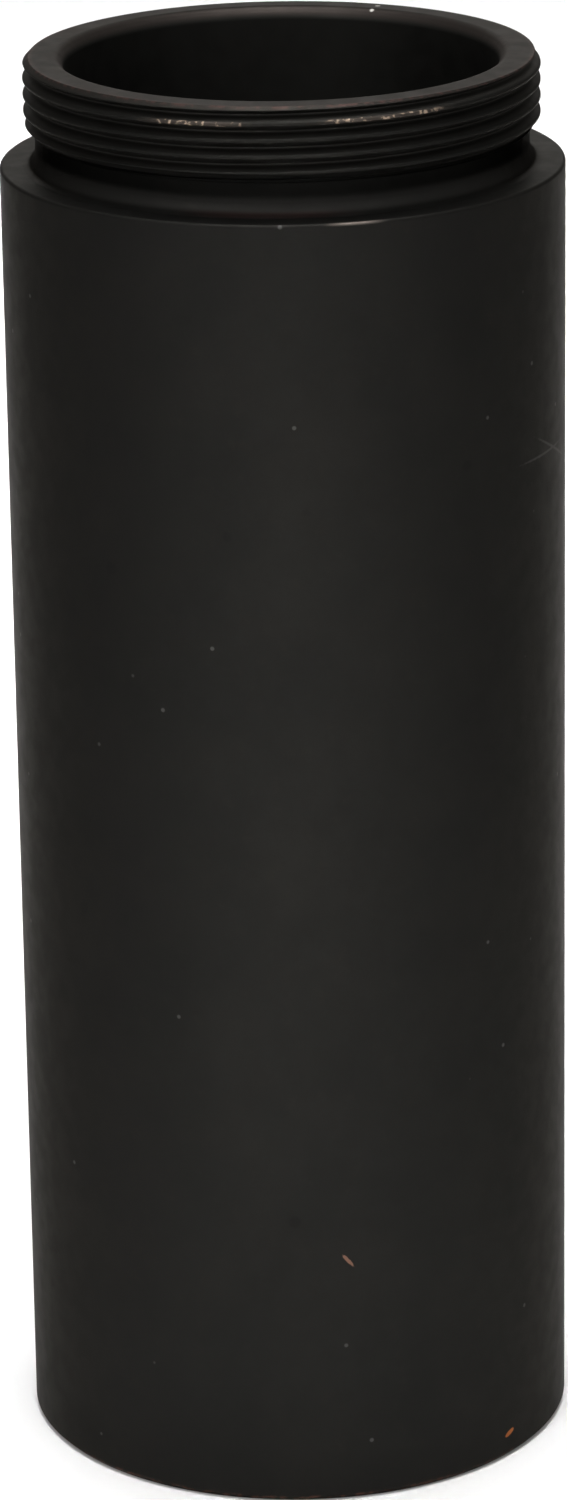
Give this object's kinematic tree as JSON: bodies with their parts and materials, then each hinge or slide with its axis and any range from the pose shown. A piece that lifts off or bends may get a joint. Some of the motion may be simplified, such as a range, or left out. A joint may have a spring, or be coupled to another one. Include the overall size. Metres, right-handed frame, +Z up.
{
  "type": "barlow lens barrel",
  "caption": "Telescope Barlow lens tube: plain push-fit barrel with a threaded neck at the top, baffled bore and a screw-in negative lens cell in the bottom.",
  "frame": {"origin": "centre of the barrel's bottom face", "axes": "+Z up the tube's axis towards the threaded neck; the thread's start at the rim faces -X, -Y"},
  "size_m": [0.0318, 0.0318, 0.0816],
  "materials": {
    "black_anodised_tube": "satin black anodised, lightly worn at the edges",
    "black_anodised_ring": "satin black anodised",
    "matt_black_stop": "matt black, against glare",
    "crown_glass": "polished, coated",
    "flint_glass": "polished, coated",
    "nylon": "matt",
    "nitrile": "matt"
  },
  "bodies": {
    "tube": {"barrel": "black_anodised_tube", "upper_baffle": "matt_black_stop", "upper_sleeve": "matt_black_stop", "middle_baffle": "matt_black_stop", "middle_sleeve": "matt_black_stop", "lower_baffle": "matt_black_stop", "lower_sleeve": "matt_black_stop", "stack_retainer": "black_anodised_ring"},
    "seal": {"anti_rattle_ring": "nitrile"},
    "cell": {"lens_cell": "black_anodised_ring", "meniscus_lens": "flint_glass", "concave_lens": "crown_glass", "lens_gasket": "nylon", "lens_retainer": "black_anodised_ring"}
  },
  "joints": [
    {"name": "cell_travel", "type": "slide", "parent": "tube", "child": "seal", "axis": [0, 0, -1], "range_m": [0, 0.00842]},
    {"name": "cell_turn", "type": "hinge", "parent": "seal", "child": "cell", "pos_m": [0, 0, 0.0084], "axis": [0, 0, -1], "range_deg": [0, 5040]}
  ],
  "couplings": [
    {"joint": "cell_travel", "follows": "cell_turn", "m_per_rad": 0.000095493}
  ]
}
